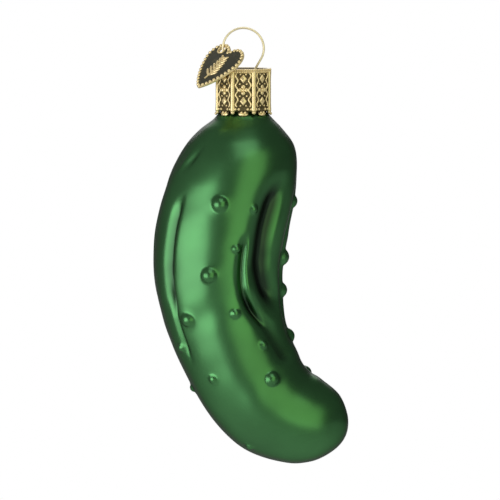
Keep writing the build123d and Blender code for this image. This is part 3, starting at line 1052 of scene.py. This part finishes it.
def makeSprig(material):
    steps, pairs, start = heart["stemSteps"], heart["needlePairs"], heart["needleStart"]
    stem = [tuple(onHeart(*stemSpot(k / steps), heartFace)) for k in range(steps + 1)]
    needles = []
    for k in range(pairs):
        q = start + (1 - start) * k / pairs
        x, y = stemSpot(q)
        length = heart["needleLong"] * (1 - heart["needleLoss"] * q)
        far, level = length * heart["needleOut"], heartFace + heart["needleProud"]
        for side in (-1, 1):
            lean = side * math.radians(heart["needleLean"] - heart["needleRise"] * q)
            spot = onHeart(x + math.sin(lean) * far, y + math.cos(lean) * far, level)
            turned = (heartTurn @ Matrix.Rotation(-lean, 3, "Z")).to_euler()
            needles.append(spotAt(spot, turned, (heart["needleWide"], length, heart["needleHigh"])))
    return [
        sweepOnLine("sprigStem", [stem], heart["stemWire"] * mm, heart["stemSides"], material),
        setOnPoints("needles", beadShape("needle"), needles, mm, material),
    ]


def makeHeart(material):
    turn = heartTurn.to_euler()
    beads = []
    for p in evenSpots(heartOutline(heart["beadInset"]), heart["beads"]):
        beads.append(spotAt(onHeart(p.x, p.y, heartFace - heart["beadSink"]), turn))
    ring = circleSpots(heart["eyelet"], heart["eyeletSteps"], heartHole)
    eyelet = [tuple(onHeart(x, y, heartFace)) for x, y in ring]
    wire, sides = heart["eyeletWire"] * mm, heart["eyeletSides"]
    made = [
        makeHeartPlate(),
        setOnPoints("heartBeads", beadShape("heartBead"), beads, heart["bead"] * mm, material),
        sweepOnLine("eyelet", [eyelet], wire, sides, material, closed=True),
    ]
    whole = joinPieces("heartTag", made + makeSprig(material), material)
    proud = ((meshPoints(whole) / mm - np.array(heart["hang"])) @ np.array(heartTurn))[:, 2] - heartFace
    relief = np.clip(heart["flatRelief"] + proud / heart["reliefHeight"], 0, 1)
    relief[proud < -heart["backFrom"]] = heart["backRelief"]
    setFloat(whole, "relief", relief)
    return whole


heartTag = makeHeart(goldMaterial("antiqueGoldTag", heart["look"]))
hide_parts("heart_tag")
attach(heartTag, "tag")
print("stage: heart tag", len(heartTag.data.polygons), "faces")


# studio: pale floor, soft boxes, dim room and white backdrop
studio = {
    "aim": (0.0015, 0.0, -0.0497),
    "distance": 1.2, "elevation": 4.0, "frame": 0.1125, "sensor": 36, "clip": (0.05, 20),
    # azimuth (+ to the camera's right), elevation, distance, width, height, roll, level and colour
    "boxes": {
        "keyBox": (-50, -8, 0.8, 0.8, 0.74, 10, 1.75, (1.0, 1.0, 1.0)),
        "warmBox": (32, 8, 0.85, 0.7, 1.0, -12, 0.74, (0.85, 0.95, 0.55)),
        "topBox": (18, 54, 0.8, 0.55, 0.6, 0, 0.8, (1.0, 1.0, 1.0)),
        "backBox": (180, 30, 0.9, 0.7, 0.5, 0, 1.3, (1.0, 1.0, 1.0)),
    },
    # the floor's tone near and far, its share of white there, and from where mirrors show it white
    "floorZ": -0.42, "floorRadius": 3.0, "floorSides": 96, "floorFade": (0.15, 0.7),
    "floorTone": (0.36, 0.25), "floorWhite": (0.7, 1), "floorBack": (2.2, 2.8),
    # the room's light left and right in mirrors, its white back there, and its light on matt things
    "room": (0.2, 0.085), "roomSides": (-0.9, 0.5), "roomBack": (0.975, 0.999), "soft": 0.88,
}
aim = Vector(studio["aim"])


def wayTo(azimuth, elevation):
    a, e = math.radians(azimuth), math.radians(elevation)
    return Vector((math.sin(a) * math.cos(e), -math.cos(a) * math.cos(e), math.sin(e)))


def makeBoxes():
    for name, (azimuth, elevation, far, wide, tall, roll, level, colour) in studio["boxes"].items():
        lamp = bpy.data.lights.new(name, "AREA")
        lamp.shape = "RECTANGLE"
        lamp.size, lamp.size_y = wide, tall
        lamp.energy = level * math.pi * wide * tall
        lamp.color = colour
        box = placed(name, lamp)
        way = wayTo(azimuth, elevation)
        box.location = aim + way * far
        turned = way.to_track_quat("Z", "Y").to_matrix() @ Matrix.Rotation(math.radians(roll), 3, "Z")
        box.rotation_euler = turned.to_euler()
        box.visible_camera = False


def makeFloor():
    bpy.ops.mesh.primitive_circle_add(vertices=studio["floorSides"], radius=studio["floorRadius"],
                                      fill_type="NGON", location=(0, 0, studio["floorZ"]))
    floor = bpy.context.object
    floor.name = "studioFloor"
    material, tree = newMaterial("paleFloor")
    tree.nodes.remove(tree.nodes["Principled BSDF"])
    end = tree.nodes["Material Output"]
    matte = addNode(tree, "ShaderNodeBsdfDiffuse")
    glow = addNode(tree, "ShaderNodeEmission")
    path = addNode(tree, "ShaderNodeLightPath")
    bounced = addMath(tree, "MAXIMUM")
    mirrored = addMath(tree, "MULTIPLY")
    seen = addMath(tree, "MAXIMUM")
    place = addNode(tree, "ShaderNodeTexCoord")
    far = addNode(tree, "ShaderNodeVectorMath", operation="LENGTH")
    apart = addNode(tree, "ShaderNodeSeparateXYZ")
    white = addRange(tree, studio["floorFade"], studio["floorWhite"])
    tone = addRange(tree, studio["floorFade"], studio["floorTone"])
    back = addRange(tree, studio["floorBack"])
    share = addMath(tree, "MULTIPLY")
    mix = addNode(tree, "ShaderNodeMixShader")
    linkAll(tree, [
        (place, "Object", apart, 0),
        (apart, "Y", back, "Value"),
        (path, "Is Glossy Ray", bounced, 0),
        (path, "Is Transmission Ray", bounced, 1),
        (bounced, 0, mirrored, 0),
        (back, "Result", mirrored, 1),
        (mirrored, 0, seen, 0),
        (path, "Is Camera Ray", seen, 1),
        (place, "Object", far, 0),
        (far, "Value", white, "Value"),
        (far, "Value", tone, "Value"),
        (tone, "Result", matte, "Color"),
        (seen, 0, share, 0),
        (white, "Result", share, 1),
        (share, 0, mix, "Fac"),
        (matte, "BSDF", mix, 1),
        (glow, "Emission", mix, 2),
        (mix, "Shader", end, "Surface"),
    ])
    floor.data.materials.append(material)


def makeRoom():
    world = bpy.data.worlds.new("studioRoom")
    scene.world = world
    world.use_nodes = True
    tree = world.node_tree
    backdrop = tree.nodes["Background"]
    backdrop.inputs["Color"].default_value = (1, 1, 1, 1)
    path = addNode(tree, "ShaderNodeLightPath")
    where = addNode(tree, "ShaderNodeTexCoord")
    apart = addNode(tree, "ShaderNodeSeparateXYZ")
    back = addRange(tree, studio["roomBack"])
    walls = addRange(tree, studio["roomSides"], studio["room"])
    bounced = addMath(tree, "MAXIMUM")
    glossy = addNode(tree, "ShaderNodeMix", {"A": studio["soft"]}, data_type="FLOAT")
    level = addMath(tree, "MAXIMUM")
    linkAll(tree, [
        (where, "Generated", apart, 0),
        (apart, "Y", back, "Value"),
        (apart, "X", walls, "Value"),
        (walls, "Result", back, "To Min"),
        (path, "Is Glossy Ray", bounced, 0),
        (path, "Is Transmission Ray", bounced, 1),
        (bounced, 0, glossy, "Factor"),
        (back, "Result", glossy, "B"),
        (glossy, "Result", level, 0),
        (path, "Is Camera Ray", level, 1),
        (level, 0, backdrop, "Strength"),
        (backdrop, "Background", tree.nodes["World Output"], "Surface"),
    ])


def makeCamera():
    camera = bpy.data.cameras.new("photoCamera")
    camera.sensor_width = studio["sensor"]
    camera.lens = studio["sensor"] * studio["distance"] / studio["frame"]
    camera.clip_start, camera.clip_end = studio["clip"]
    shot = placed("photoCamera", camera)
    way = wayTo(0, studio["elevation"])
    shot.location = aim + way * studio["distance"]
    shot.rotation_euler = way.to_track_quat("Z", "Y").to_euler()
    scene.camera = shot


makeBoxes()
makeFloor()
makeRoom()
makeCamera()
print("stage: studio")
